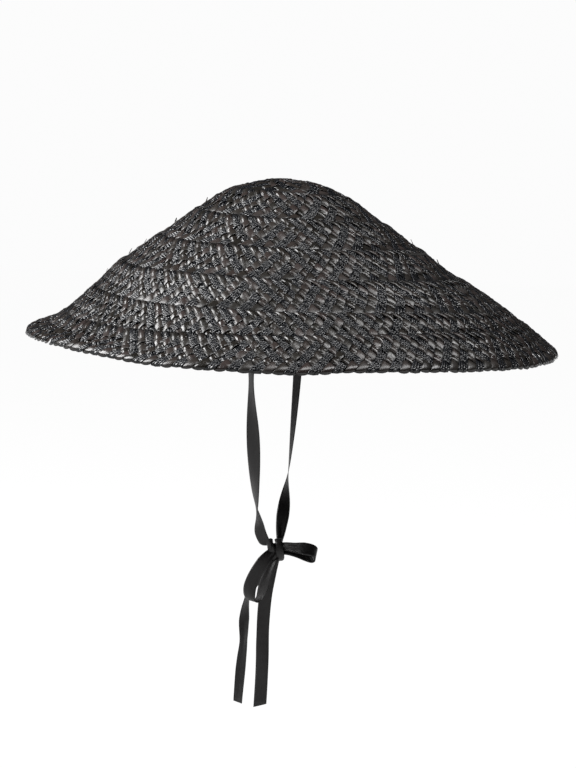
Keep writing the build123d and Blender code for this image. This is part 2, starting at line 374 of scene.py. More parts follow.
def grosgrain():
    """Black grosgrain: stout cross ribs and a plain selvedge each side."""
    material, tree, shader = new_material("grosgrain")
    turn = math_node(tree, "MULTIPLY", strand_place(tree)[0], math.pi / GROSGRAIN_PITCH)
    rib = math_node(tree, "ABSOLUTE", math_node(tree, "SINE", turn))
    selvedge = ramp(tree, off_middle(tree), 0.47, 0.49, 1.0, 0.0)
    rib = math_node(tree, "MULTIPLY", rib, selvedge)
    yarn = noise(tree, scaled_uv(tree, 900, 40), 1.0, 2.0)
    wear = noise(tree, scaled_uv(tree, 35, 1.2), 1.0, 3.0)
    shade = math_node(tree, "MULTIPLY_ADD", rib, 0.35, math_node(tree, "MULTIPLY", yarn, 0.35))
    shade = math_node(tree, "MULTIPLY_ADD", wear, 0.3, shade)
    colour = mix_colour(tree, shade, *BLACK_GROSGRAIN)
    tree.links.new(colour, shader.inputs["Base Color"])
    tree.links.new(ramp(tree, wear, 0.3, 0.7, 0.5, 0.68), shader.inputs["Roughness"])
    shader.inputs["Specular IOR Level"].default_value = 0.4
    shader.inputs["Sheen Weight"].default_value = 0.15
    shader.inputs["Sheen Roughness"].default_value = 0.4
    add_bump(tree, shader, math_node(tree, "MULTIPLY_ADD", yarn, 0.2, rib), 0.00030)
    return material


def on_piece(tree):
    """The point on the piece, in metres."""
    return tree.nodes.new("ShaderNodeTexCoord").outputs["Object"]


def cloth_threads(tree, direction):
    """Slightly uneven bands, as threads that run one way."""
    wave = add_node(tree, "ShaderNodeTexWave", wave_type="BANDS", bands_direction=direction)
    wave.inputs["Scale"].default_value = CLOTH_SCALE
    wave.inputs["Distortion"].default_value = 0.6
    tree.links.new(on_piece(tree), wave.inputs["Vector"])
    return wave.outputs["Fac"]


def buckram():
    """Stiffened open cotton cloth, black, with its threads showing and fuzz between them."""
    material, tree, shader = new_material("buckram")
    threads = math_node(tree, "MAXIMUM", cloth_threads(tree, "Z"), cloth_threads(tree, "DIAGONAL"))
    fuzz = noise(tree, on_piece(tree), 300.0, 3.0)
    shade = math_node(tree, "MULTIPLY_ADD", threads, 0.5, math_node(tree, "MULTIPLY", fuzz, 0.5))
    colour = mix_colour(tree, shade, *BLACK_BUCKRAM)
    tree.links.new(colour, shader.inputs["Base Color"])
    tree.links.new(ramp(tree, fuzz, 0.3, 0.7, 0.72, 0.9), shader.inputs["Roughness"])
    shader.inputs["Specular IOR Level"].default_value = 0.3
    add_bump(tree, shader, shade, 0.00025)
    return material


def sewing_thread():
    """Black twisted thread."""
    material, tree, shader = new_material("sewing_thread")
    twist = noise(tree, on_piece(tree), 2200.0)
    colour = mix_colour(tree, twist, *BLACK_THREAD)
    tree.links.new(colour, shader.inputs["Base Color"])
    shader.inputs["Roughness"].default_value = 0.5
    shader.inputs["Specular IOR Level"].default_value = 0.4
    add_bump(tree, shader, twist, 0.00012)
    return material


SATIN = satin_ribbon()
GROSGRAIN = grosgrain()
THREAD = sewing_thread()
BUCKRAM = buckram()
SMOOTH = smooth_straw()
CRIMPED = textured_straw()


# ------------------------------------------------------------- ribbons and bow
RIBBON_WIDTH = 0.010
RIBBON_THICK = 0.0004
RIPPLE_HEIGHT = 0.0007
RIPPLE_REACH = 0.019
GATHER_HEIGHT = 0.0022
CUT_REACH = 0.004
LANES = 9
TIE_START_X = 0.0828
TIE_Y = -0.012
KNOT_STATIONS = 40
KNOT_CENTRE = Vector((0, -0.0100, -0.1955))

# Each stop is a point in millimetres, the direction that the ribbon's width lies in there
# (rightward, forward, upward), and its width there as a share of the flat ribbon's
RIGHT_TIE = [
    ((82.8, -12.0, -10.3), (1.0, 0.0, 0.0), 1.0),
    ((79.5, -12.5, -57.0), (0.25, 1.0, 0.0), 1.0),
    ((65.5, -13.0, -105.0), (1.0, 0.15, 0.0), 1.0),
    ((45.5, -16.0, -147.5), (0.45, 1.0, 0.1), 1.0),
    ((22.5, -18.5, -176.5), (-0.65, 0.75, 0.0), 1.0),
    ((6.5, -15.0, -193.0), (-0.6, 0.5, 0.6), 0.7),
]
LEFT_TIE = [
    ((-82.8, -12.0, -10.3), (1.0, 0.0, 0.0), 1.0),
    ((-80.5, -12.2, -56.0), (0.7, 0.7, 0.0), 1.0),
    ((-68.0, -12.6, -104.0), (0.45, 0.9, 0.0), 1.0),
    ((-49.5, -12.0, -145.5), (0.0, 1.0, 0.0), 1.0),
    ((-25.0, -11.0, -176.5), (-1.0, 0.15, 0.0), 1.0),
    ((-6.5, -8.5, -188.5), (-0.7, 0.5, 0.0), 0.6),
]
LEFT_TAIL = [
    ((-3.0, -14.5, -201.0), (1.0, 0.2, 0.3), 0.7),
    ((-4.6, -25.5, -217.0), (0.8, 0.6, 0.3), 0.9),
    ((-5.6, -34.0, -235.0), (0.35, -0.95, 0.0), 1.0),
    ((-5.3, -35.8, -254.0), (0.80, -0.6, 0.0), 1.0),
    ((-5.1, -35.4, -270.0), (0.62, -0.75, 0.0), 0.9),
    ((-5.0, -37.6, -289.0), (0.80, -0.55, 0.0), 0.95),
    ((-4.8, -39.6, -320.0), (0.70, -0.70, 0.0), 0.95),
]
RIGHT_TAIL = [
    ((2.3, -10.5, -203.0), (1.0, 0.3, 0.2), 0.8),
    ((1.8, -15.1, -219.0), (1.0, 0.1, 0.2), 1.0),
    ((0.9, -18.0, -236.5), (1.0, 0.0, 0.0), 1.0),
    ((0.6, -19.3, -261.0), (0.95, -0.3, 0.0), 1.0),
    ((-0.2, -19.2, -290.7), (1.0, 0.2, 0.0), 1.0),
    ((-0.8, -20.8, -320.0), (1.0, 0.0, 0.0), 1.0),
]
LEFT_BOW = [
    ((0.0, -8.0, -194.0), (0.3, 0.2, 1.0), 0.6),
    ((7.5, -11.5, -196.0), (0.7, 0.0, -0.7), 0.7),
    ((12.5, -16.5, -202.5), (0.95, 0.0, -0.4), 1.0),
    ((13.5, -23.0, -213.0), (0.95, 0.0, -0.35), 1.0),
    ((13.5, -27.5, -224.0), (0.95, 0.15, -0.3), 1.0),
    ((11.5, -27.0, -234.5), (0.8, 0.6, -0.2), 1.0),
    ((8.5, -20.8, -235.0), (0.60, 0.8, 0.25), 0.95),
    ((7.5, -16.6, -221.0), (0.86, 0.5, -0.1), 1.0),
    ((6.5, -12.0, -207.0), (0.85, 0.5, -0.2), 0.85),
    ((3.0, -8.0, -198.5), (0.9, 0.3, 0.2), 0.6),
]
RIGHT_BOW = [
    ((1.0, -11.0, -193.5), (0.0, -0.3, 0.9), 0.6),
    ((3.5, -3.0, -191.5), (0.0, -0.3, 0.9), 0.6),
    ((5.0, 5.0, -192.0), (0.0, -0.45, 0.85), 0.75),
    ((5.5, 13.5, -192.0), (0.0, -0.6, 0.8), 1.0),
    ((3.5, 20.0, -193.5), (0.1, -0.6, 0.8), 1.0),
    ((0.5, 22.5, -197.0), (0.2, -0.6, 0.8), 1.0),
    ((-2.0, 19.5, -200.5), (0.1, -0.6, 0.8), 1.0),
    ((-2.5, 12.5, -199.0), (0.0, -0.6, 0.8), 0.95),
    ((-1.0, 5.0, -196.5), (0.0, -0.5, 0.85), 0.8),
    ((1.0, -3.5, -195.5), (0.0, -0.3, 0.9), 0.6),
    ((2.0, -9.0, -199.0), (0.5, -0.3, 0.6), 0.6),
]


def strip_faces(stations, around, start):
    """Quads of an open-ended tube of rings of points."""
    ring = np.arange(around)
    rows = np.arange(stations - 1)[:, None] * around + start
    a = rows + ring
    b = rows + (ring + 1) % around
    return np.stack((a, b, b + around, a + around), axis=2).reshape(-1, 4)


def strip_piece(name, ring, along, across, material):
    """A closed strip through rings of points, with metres along and shares across it."""
    stations, around = ring.shape[:2]
    faces = strip_faces(stations, around, 0).tolist()
    faces.append(list(range(around))[::-1])
    faces.append([(stations - 1) * around + i for i in range(around)])
    mesh = bpy.data.meshes.new(name)
    mesh.from_pydata(ring.reshape(-1, 3).tolist(), [], faces)
    uvs = np.stack((np.repeat(along, around), np.tile(across, stations)), axis=1)
    layer = mesh.uv_layers.new(name="strand")
    loops = np.zeros(len(mesh.loops), dtype=np.int32)
    mesh.loops.foreach_get("vertex_index", loops)
    layer.data.foreach_set("uv", uvs[loops].astype(np.float32).ravel())
    mesh.validate()
    mesh.shade_smooth()
    mesh.materials.append(material)
    piece = bpy.data.objects.new(name, mesh)
    bpy.context.scene.collection.objects.link(piece)
    return piece


def smooth_line(name, stops):
    """The points of a smooth curve that has the stops as its control points."""
    curve = bpy.data.curves.new(name, "CURVE")
    curve.dimensions = "3D"
    curve.resolution_u = 14
    spline = curve.splines.new("NURBS")
    spline.points.add(len(stops) - 1)
    for point, (place, _, _) in zip(spline.points, stops):
        point.co = (place[0] / 1000, place[1] / 1000, place[2] / 1000, 1)
    spline.order_u = 3
    spline.use_endpoint_u = True
    holder = bpy.data.objects.new(name, curve)
    mesh = bpy.data.meshes.new_from_object(holder)
    points = np.array([tuple(vertex.co) for vertex in mesh.vertices])
    bpy.data.objects.remove(holder)
    bpy.data.meshes.remove(mesh)
    return points


def unit_rows(vectors):
    """Vectors in rows, each made one unit long."""
    return vectors / np.maximum(np.linalg.norm(vectors, axis=1, keepdims=True), 1e-9)


def distances(points):
    """How far along a line of points each one is."""
    steps = np.linalg.norm(np.diff(points, axis=0), axis=1)
    return np.concatenate(([0.0], np.cumsum(steps)))


def ribbon_frames(points, stops):
    """The width direction, the face normal and the width share at each point of a ribbon."""
    count = len(stops)
    at_stop = np.concatenate(([0.0], np.arange(1, count - 1) - 0.5, [count - 2.0]))
    place = np.linspace(0, count - 2, len(points))
    basis = np.array([tuple(RIGHTWARD), tuple(FORWARD), tuple(UPWARD)])
    wanted = np.array([facing for _, facing, _ in stops]) @ basis
    facing = np.stack([np.interp(place, at_stop, wanted[:, axis]) for axis in range(3)], axis=1)
    share = np.interp(place, at_stop, [width for _, _, width in stops])
    tangent = unit_rows(np.gradient(points, axis=0))
    wide = unit_rows(facing - tangent * np.sum(facing * tangent, axis=1, keepdims=True))
    for _ in range(6):
        wide[1:-1] = unit_rows(wide[:-2] + 2 * wide[1:-1] + wide[2:])
    return wide, np.cross(tangent, wide), share


def ribbon_mesh(name, stops, cut_slant):
    """A thin ribbon along the stops' curve, a little rippled, with its free end cut on the slant."""
    points = smooth_line(name + "_line", stops)
    wide, face, share = ribbon_frames(points, stops)
    rng = np.random.default_rng(3)
    along = distances(points)
    ripple = RIPPLE_HEIGHT * np.sin(along / RIPPLE_REACH + rng.uniform(0, 6)) * (1.3 - share)
    lanes = np.linspace(-1, 1, LANES)
    half = share[:, None] * RIBBON_WIDTH / 2
    gather = (1 - share)[:, None] * GATHER_HEIGHT * np.cos(lanes * math.pi * 1.5)
    rise = ripple[:, None] * (1 - lanes**2) + gather
    ending = np.clip((along - along[-1] + CUT_REACH) / CUT_REACH, 0, 1)[:, None] * lanes * cut_slant
    tangent = unit_rows(np.gradient(points, axis=0))
    centre = points[:, None, :] + wide[:, None, :] * (half * lanes)[:, :, None]
    centre = centre + tangent[:, None, :] * ending[:, :, None]
    edge = np.clip(1.15 - lanes**6 * 0.5, 0.2, 1) * RIBBON_THICK / 2
    top = centre + face[:, None, :] * (rise + edge)[:, :, None]
    under = centre + face[:, None, :] * (rise - edge)[:, :, None]
    ring = np.concatenate((top, under[:, ::-1]), axis=1)
    across = np.concatenate((lanes, lanes[::-1])) / 2 + 0.5
    return strip_piece(name, ring, along, across, SATIN), points, float(along[-1])


# The knot band's section: (share of its width, share of its thickness), from its left edge
BAND_SECTION = (
    (-0.5, 0.0), (-0.44, 0.55), (-0.2, 0.95), (0.0, 0.86), (0.2, 0.97), (0.44, 0.6), (0.5, 0.0),
    (0.3, -0.3), (-0.3, -0.3),
)
BAND_PINCH = 0.10


def wrap_band(centre, axis, up, half_up, half_out, width, thick):
    """Points and faces of a closed crowned band about an axis, part of the knot."""
    out = np.cross(axis, up)
    rings = []
    for turn in np.linspace(0, 2 * math.pi, KNOT_STATIONS, endpoint=False):
        spoke = up * math.cos(turn) * half_up + out * math.sin(turn) * half_out
        outward = up * math.cos(turn) / half_up + out * math.sin(turn) / half_out
        outward = outward / np.linalg.norm(outward)
        pinch = 1 + BAND_PINCH * math.cos(3 * turn + 1)
        for side, rise in BAND_SECTION:
            rings.append(centre + spoke + axis * side * width * pinch + outward * rise * thick)
    around = len(BAND_SECTION)
    faces = strip_faces(KNOT_STATIONS, around, 0).tolist()
    last = (KNOT_STATIONS - 1) * around
    for i in range(around):
        j = (i + 1) % around
        faces.append([last + i, last + j, j, i])
    return rings, faces


def make_knot():
    """The bow's knot: an upright wrap in front, a small roll beside it and one round the back."""
    right, forward, up = [np.array(tuple(v)) for v in (RIGHTWARD, FORWARD, UPWARD)]
    centre = np.array(tuple(KNOT_CENTRE))
    front = centre + right * 0.0028
    beside = centre - right * 0.0038 + up * 0.0026 + forward * 0.0022
    behind = centre - right * 0.0022 - up * 0.0035
    # each wrap's middle, axis, half height, half depth, width and thickness
    wraps = (
        (front, right + up * 0.12, 0.0075, 0.0055, 0.0062, 0.0016),
        (beside, right + up * 0.25, 0.0048, 0.0040, 0.0052, 0.0018),
        (behind, right * 0.8 - up * 0.5, 0.0042, 0.0052, 0.0070, 0.0014),
    )
    around = len(BAND_SECTION)
    vertices = []
    faces = []
    uvs = []
    for middle, axis, half_up, half_out, width, thick in wraps:
        axis = axis / np.linalg.norm(axis)
        level = up - axis * np.dot(up, axis)
        level = level / np.linalg.norm(level)
        rings, band_faces = wrap_band(middle, axis, level, half_up, half_out, width, thick)
        faces += [[i + len(vertices) for i in face] for face in band_faces]
        vertices += rings
        for station in range(KNOT_STATIONS):
            uvs += [(station * 0.001, i / (around - 1)) for i in range(around)]
    mesh = bpy.data.meshes.new("knot_wraps")
    mesh.from_pydata([tuple(v) for v in vertices], [], faces)
    layer = mesh.uv_layers.new(name="strand")
    for loop, place in zip(mesh.loops, layer.data):
        place.uv = uvs[loop.vertex_index]
    mesh.shade_smooth()
    mesh.materials.append(SATIN)
    knot = bpy.data.objects.new("knot_wraps", mesh)
    bpy.context.scene.collection.objects.link(knot)
    smooth = knot.modifiers.new("round", "SUBSURF")
    smooth.levels = 1
    smooth.render_levels = 1
    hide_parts("bow_knot")
    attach(knot, "chin_tie")
    return knot


def make_ties():
    """Two ribbons, each in one length from its sewn end through the bow to its tail."""
    knot = make_knot()
    for side, exit_x, stops, slant in (
        ("left", -TIE_START_X, LEFT_TIE + LEFT_BOW + LEFT_TAIL, 0.0020),
        ("right", TIE_START_X, RIGHT_TIE + RIGHT_BOW + RIGHT_TAIL, -0.0016),
    ):
        ribbon, line, length = ribbon_mesh(f"ribbon_{side}", stops, slant)
        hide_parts(f"tie_ribbon_{side}", f"bow_loop_{side}", f"tie_tail_{side}")
        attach(ribbon, "chin_tie")


make_ties()


# ------------------------------------------------------------ crown surface
def slope_frame(s):
    """Radius, height and slope angle at slope distances s from the tip."""
    s = np.asarray(s, float)
    dome = s / DOME_RADIUS
    flank = DOME_ANGLE + (s - DOME_LENGTH) / FLANK_RADIUS
    on_dome = s <= DOME_LENGTH
    angle = np.where(on_dome, dome, flank)
    dome_r = DOME_RADIUS * np.sin(dome)
    dome_z = TIP_Z - DOME_RADIUS * (1 - np.cos(dome))
    flank_r = DOME_EDGE_R + FLANK_RADIUS * (np.sin(flank) - math.sin(DOME_ANGLE))
    flank_z = TIP_Z - DOME_DROP - FLANK_RADIUS * (math.cos(DOME_ANGLE) - np.cos(flank))
    return np.where(on_dome, dome_r, flank_r), np.where(on_dome, dome_z, flank_z), angle


def smooth_step(low, high, value):
    """An even climb from 0 at low to 1 at high."""
    share = np.clip((value - low) / (high - low), 0, 1)
    return share * share * (3 - 2 * share)


def swell(value, place, spread):
    """A rounded bump of height 1 at a place."""
    return np.exp(-(((value - place) / spread) ** 2))


def uneven(points):
    """The hat's own small unevenness: the crown leans, and the rim dips and lifts round its edge."""
    side = points @ np.array(RIGHTWARD)
    near_side = points @ np.array(FORWARD) > 0
    radius = np.hypot(points[:, 0], points[:, 1])
    near_rim = np.clip((radius - TILT_START) / (RIM_RADIUS - TILT_START), 0, 1)
    lean = CROWN_LEAN * (1 - smooth_step(*LEAN_FADE, radius))
    slump = TIP_SLUMP * (1 - smooth_step(*SLUMP_FADE, radius))
    hollow = BRIM_HOLLOW * swell(radius, FLARE_BAND[0], HOLLOW_SPREAD)
    flare = (BRIM_FLARE * smooth_step(*FLARE_BAND, radius) - hollow) * np.clip(-side / FLARE_REACH, 0, 1)
    lift = sum(rise * swell(side, place, spread) for place, spread, rise in RIM_SWELLS) * near_side
    moved = points - np.outer(lean, np.array(RIGHTWARD))
    moved[:, 2] += (lift - RIM_TILT * side) * near_rim + flare - slump
    return moved


def lower_edge(turns):
    """Slope distance of the braid's lower selvedge after so many turns, sewn a little unevenly."""
    settled = np.minimum(turns, ROWS)
    wobble = np.sin(2 * math.pi * settled * 2.63) + np.sin(2 * math.pi * settled * 5.31 + 1)
    return settled * PITCH + EDGE_WOBBLE * wobble * np.clip(ROWS - turns, 0, 1)


def braid_height(across, turns):
    """Height off the crown. Each turn lies over the turn above it, so its lower strip sinks under
    the next turn. The last turn runs level on the rim row, and its end dives under it."""
    beyond = np.clip(turns - (ROWS - 1), 0, 1) * PITCH
    dive = smooth_step(*END_DIVE, np.mod(turns, 1.0)) * (turns > ROWS - 1)
    sunk = 1 - np.clip((across - beyond - SINK_START) / (PITCH - SINK_START), 0, 1)
    dip = np.where(turns < ROWS, sunk * (1 - dive), dive)
    from_rim = (ROWS - np.minimum(turns, ROWS)) * PITCH + across
    curl = np.clip(1 - from_rim / RIM_CURL_REACH, 0, 2) ** 2
    press = TOP_PRESS * smooth_step(*PRESS_BAND, across)
    return BRAID_LIFT - TUCK_DEPTH * dip - press - RIM_CURL_DEPTH * curl


# Metres along the braid's middle line after each number of turns
TURN_TABLE = np.linspace(0.0, 8.3, 8301)
EDGE_TABLE = lower_edge(TURN_TABLE)
MIDDLE_R = slope_frame(np.maximum(EDGE_TABLE - BRAID_WIDTH / 2, EDGE_TABLE * 0.55))[0]
MIDDLE_R = np.maximum(MIDDLE_R, 0.006)
STEP_ALONG = np.diff(TURN_TABLE) * 2 * math.pi * (MIDDLE_R[1:] + MIDDLE_R[:-1]) / 2
ALONG_TABLE = np.concatenate(([0.0], np.cumsum(STEP_ALONG)))


def on_crown(along, across, out):
    """Points of the plait, from metres along and across the braid and metres off its middle."""
    turns = np.interp(along, ALONG_TABLE, TURN_TABLE)
    edge = lower_edge(turns)
    squeeze = np.minimum(1.0, edge / BRAID_WIDTH)
    s = np.maximum(edge - across * squeeze, 0.0)
    r, z, angle = slope_frame(s)
    lift = out + braid_height(across, turns)
    azimuth = WIND_START + 2 * math.pi * turns
    ring = r + lift * np.sin(angle)
    points = np.stack((ring * np.cos(azimuth), ring * np.sin(azimuth), z + lift * np.cos(angle)), axis=1)
    return uneven(points)


def over_and_under(level):
    """A strand's height, from -1 to 1, by crossings passed since it left the lower selvedge."""
    passed = np.mod(level, 2 * STRANDS)
    climbing = np.sin(math.pi * (passed - 0.5))
    falling = -np.sin(math.pi * (2 * STRANDS - passed - 0.5))
    wave = np.where(passed < STRANDS, climbing, falling)
    for edge in (0, STRANDS, 2 * STRANDS):
        wave = np.where(abs(passed - edge) < 1, np.sin(math.pi / 2 * (passed - edge)), wave)
    return np.tanh(1.5 * wave)


def wander(rng, along, size):
    """A slow, small random change along a strand."""
    total = np.zeros_like(along)
    for length in (0.021, 0.047, 0.11):
        total += np.sin(2 * math.pi * along / length + rng.uniform(0, 6.28)) / 3
    return size * total


# Each section lists (share of half width, height), round the strand from the top's left edge
SMOOTH_SECTION = np.array((
    (-1, -0.05), (-0.92, 0.14), (-0.52, 0.30), (0, 0.38), (0.52, 0.30), (0.92, 0.14), (1, -0.05),
    (0, -0.24),
))
CRIMPED_SECTION = np.array((
    (-1, -0.05), (-0.90, 0.34), (-0.72, 0.22), (0, 0.34), (0.72, 0.22), (0.90, 0.34), (1, -0.05),
    (0, -0.24),
))
# The crossings after which a strand's next float begins, over the two traverses of its zigzag
FLOAT_ENDS = (2, 4, 6, 9, 11, 13)


class Weave:
    """Collects strands into one mesh with coordinates, tones, heights and finishes."""

    def __init__(self):
        self.points = []
        self.uvs = []
        self.tones = []
        self.heights = []
        self.faces = []
        self.finish = []
        self.count = 0

    def add(self, points, uvs, tones, heights, stations, around, finish):
        """Takes in one strand, given as rings of points."""
        quads = strip_faces(stations, around, self.count)
        self.points.append(points)
        self.uvs.append(uvs)
        self.tones.append(tones)
        self.heights.append(heights)
        self.faces.append(quads)
        self.finish.append(np.full(len(quads), finish))
        self.count += len(points)

    def build(self, name, materials):
        """The piece made of all the strands so far."""
        points = np.concatenate(self.points)
        faces = np.concatenate(self.faces)
        mesh = bpy.data.meshes.new(name)
        mesh.vertices.add(len(points))
        mesh.vertices.foreach_set("co", points.astype(np.float32).ravel())
        mesh.loops.add(faces.size)
        mesh.loops.foreach_set("vertex_index", faces.astype(np.int32).ravel())
        mesh.polygons.add(len(faces))
        mesh.polygons.foreach_set("loop_start", np.arange(0, faces.size, 4, dtype=np.int32))
        mesh.polygons.foreach_set("material_index", np.concatenate(self.finish).astype(np.int32))
        for material in materials:
            mesh.materials.append(material)
        layer = mesh.uv_layers.new(name="strand")
        layer.data.foreach_set("uv", np.concatenate(self.uvs)[faces.ravel()].astype(np.float32).ravel())
        for attribute, values in (("tone", self.tones), ("height", self.heights)):
            layer = mesh.attributes.new(attribute, "FLOAT", "POINT")
            layer.data.foreach_set("value", np.concatenate(values).astype(np.float32))
        mesh.update(calc_edges=True)
        mesh.validate()
        mesh.shade_smooth()
        piece = bpy.data.objects.new(name, mesh)
        bpy.context.scene.collection.objects.link(piece)
        return piece


def add_strand(weave, index, start, end):
    """One strand of the plait between two distances along the braid, folded over at each selvedge."""
    rng = np.random.default_rng(100 + index)
    crimped = index in CRIMPED_STRANDS
    section = CRIMPED_SECTION if crimped else SMOOTH_SECTION
    around = len(section)
    step = STRAND_PERIOD / 2 / STEPS_PER_TRAVERSE
    shift = index * STRAND_SPACING
    first = math.ceil((start + shift) / step)
    last = math.ceil((end + shift) / step)
    count = np.arange(first, last + 1)
    along = count * step - shift
    level = count * STRANDS / STEPS_PER_TRAVERSE
    passed = np.mod(level, 2 * STRANDS)
    rank = np.where(passed > STRANDS, 2 * STRANDS - passed, passed)
    side, rise = section.T
    to_edge = np.minimum(rank, STRANDS - rank)
    pinch = 1 - SELVEDGE_PINCH * np.clip(1 - to_edge / 0.8, 0, 1)
    width = STRAND_WIDTH * pinch * (1 + wander(rng, along, WIDTH_WANDER))
    offset = np.outer(width / 2, side)
    x = along[:, None] + wander(rng, along, ALONG_WANDER)[:, None] - offset / math.sin(STRAND_ANGLE)
    # near a selvedge the fold lies flat; elsewhere the strand bends along the strands it crosses
    free = smooth_step(0.1, 1.2, to_edge)[:, None]
    bend_level = level[:, None] - free * offset * STRANDS / (STRAND_PERIOD * math.sin(STRAND_ANGLE))
    wave = over_and_under(bend_level)
    face_up = np.clip(6 * np.sin(math.pi * level / STRANDS), -1, 1)[:, None]
    thickness = rise[None, :] * STRAW_THICK
    roll = offset * wander(rng, along, STRAND_ROLL)[:, None]
    height = WEAVE_HEIGHT * wave + wander(rng, along, HEIGHT_WANDER)[:, None] + roll + thickness * face_up
    outward = np.where(rank > STRANDS / 2, 1, -1)
    bulge = SELVEDGE_BULGE * (1 + wander(rng, along, BULGE_WANDER)) * outward
    bulge = bulge * np.clip(1 - to_edge / 0.7, 0, 1) ** 2
    across = (BRAID_WIDTH - TRAVERSE) / 2 + TRAVERSE * rank / STRANDS
    across = across + wander(rng, along, ACROSS_WANDER)
    t = across[:, None] + bulge[:, None] * (1 - side**2)[None, :] - thickness * np.sqrt(1 - face_up**2)
    points = on_crown(x.ravel(), t.ravel(), height.ravel())
    travelled = level * TRAVERSE / STRANDS / math.sin(STRAND_ANGLE)
    uvs = np.stack((np.repeat(travelled, around), np.tile((side + 1) / 2, len(count))), axis=1)
    zigzag = np.floor(level / 2 / STRANDS).astype(int)
    floats = np.searchsorted(FLOAT_ENDS, passed) + len(FLOAT_ENDS) * zigzag
    shades = np.random.default_rng(7 + index).uniform(0, 1, 4096)
    tones = np.repeat(shades[floats % 4096], around)
    turns = np.interp(along, ALONG_TABLE, TURN_TABLE)
    # painted shade on the folds along each selvedge, where one turn laps over the next; less of it on the
    # rim row
    seam_darkening = 0.9 - 0.4 * smooth_step(ROWS - 1.2, ROWS - 1.0, turns)
    seam_shade = 1 - seam_darkening * np.clip(1.35 - 1.5 * to_edge, 0, 1)
    top_share = smooth_step(-0.45, 0.75, wave.ravel()) * np.repeat(seam_shade, around)
    weave.add(points, uvs, tones, top_share, len(count), around, 1 if crimped else 0)


def loose_ends():
    """A few ends of straw that have worked loose and stand a little off the crown."""
    weave = Weave()
    rng = np.random.default_rng(5)
    around = len(SMOOTH_SECTION)
    side, rise = SMOOTH_SECTION.T
    share = np.linspace(0, 1, END_STATIONS)
    off = np.outer(END_WIDTH * (1 - 0.5 * share), side)
    height = END_HEIGHT + END_RISE * share[:, None] + rise[None, :] * END_THICK
    for turns, across, slant in LOOSE_ENDS:
        start = np.interp(turns, TURN_TABLE, ALONG_TABLE)
        reach = rng.uniform(*END_REACH)
        x = start + share * reach * math.cos(slant)
        t = across + share * reach * math.sin(slant)
        points = on_crown(
            (x[:, None] - off * math.sin(slant)).ravel(),
            (t[:, None] + off * math.cos(slant)).ravel(),
            height.ravel(),
        )
        uvs = np.stack((np.repeat(share * reach, around), np.tile((side + 1) / 2, END_STATIONS)), axis=1)
        tones = np.full(len(points), END_TONE)
        weave.add(points, uvs, tones, np.ones(len(points)), END_STATIONS, around, 0)
    piece = weave.build("loose_straw_ends", (SMOOTH,))
    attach(piece, "hat")


def braid_turns():
    """The spiral braid, cut on its left side into one piece for each CAD row."""
    row_ends = [row + 1 + PIECE_CUT for row in range(1, ROWS)] + [LAST_TURN - TUCK_TURNS]
    cuts = [FIRST_TURN] + row_ends + [LAST_TURN]
    names = [f"braid_row_{row}" for row in range(1, ROWS + 1)] + ["braid_end_tuck"]
    for name, first, last in zip(names, cuts, cuts[1:]):
        weave = Weave()
        start, end = np.interp((first, last), TURN_TABLE, ALONG_TABLE)
        for index in range(STRANDS):
            add_strand(weave, index, start, end)
        piece = weave.build(name.replace("braid", "straw"), (SMOOTH, CRIMPED))
        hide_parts(name)
        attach(piece, "hat")


braid_turns()
loose_ends()


# ------------------------------------------------------------ inside pieces
HEAD_HALF_X = 0.084
HEAD_HALF_Y = 0.0975
BAND_HEIGHT = 0.028
BAND_THICK = 0.0005
BAND_OUT = 0.0004
BAND_LAP = 0.012
LAP_STEP = 0.0006
THREAD_RADIUS = 0.0004
THREAD_SIDES = 6
STITCH_SPACING = 0.0062
STITCH_LENGTH = 0.0050
STITCH_STATIONS = 7
# How far above the braid's lower edge a stitch runs, how far it strays, and how deep its ends
# and its middle lie under the crown's surface
STITCH_UP = 0.0021
STITCH_STRAY = 0.0003
STITCH_DEPTH = 0.0009
STITCH_BOW = 0.0018
TIE_END_HIGH = 0.0160
TIE_END_LOW = -0.005
TIE_END_FOOT = 0.005
TIE_END_ARC = 0.00505
TIE_END_INSET = 0.0008
TIE_END_THICK = 0.0008


def lap_stitches():
    """The thread that sews the spiral's laps, a running stitch on the inside."""
    weave = Weave()
    first = np.interp(1.0, TURN_TABLE, ALONG_TABLE)
    last = np.interp(ROWS - 0.02, TURN_TABLE, ALONG_TABLE)
    ring = np.linspace(0, 2 * math.pi, THREAD_SIDES, endpoint=False)
    share = np.linspace(0, 1, STITCH_STATIONS)
    uvs = np.stack((np.repeat(share, THREAD_SIDES), np.tile(ring / 6.3, STITCH_STATIONS)), axis=1)
    level = np.ones(len(uvs))
    depth = STITCH_DEPTH + STITCH_BOW * np.sin(math.pi * share) ** 0.6
    up = np.array(UPWARD)
    rng = np.random.default_rng(21)
    for start in np.arange(first, last, STITCH_SPACING):
        seam_turns = np.interp(start + share * STITCH_LENGTH, ALONG_TABLE, TURN_TABLE)
        s = lower_edge(seam_turns) - STITCH_UP + rng.uniform(-STITCH_STRAY, STITCH_STRAY)
        r, z, angle = slope_frame(s)
        azimuth = WIND_START + 2 * math.pi * seam_turns
        spoke = np.stack((np.cos(azimuth), np.sin(azimuth), np.zeros_like(azimuth)), axis=1)
        down = spoke * np.cos(angle)[:, None] - up * np.sin(angle)[:, None]
        out = spoke * np.sin(angle)[:, None] + up * np.cos(angle)[:, None]
        line = spoke * r[:, None] + up * z[:, None] - out * depth[:, None]
        round_thread = np.cos(ring)[:, None] * down[:, None, :] + np.sin(ring)[:, None] * out[:, None, :]
        rings = line[:, None, :] + THREAD_RADIUS * round_thread
        weave.add(uneven(rings.reshape(-1, 3)), uvs, level, level, STITCH_STATIONS, THREAD_SIDES, 0)
    piece = weave.build("spiral_lap_stitching", (THREAD,))
    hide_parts("lap_stitching")
    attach(piece, "hat")


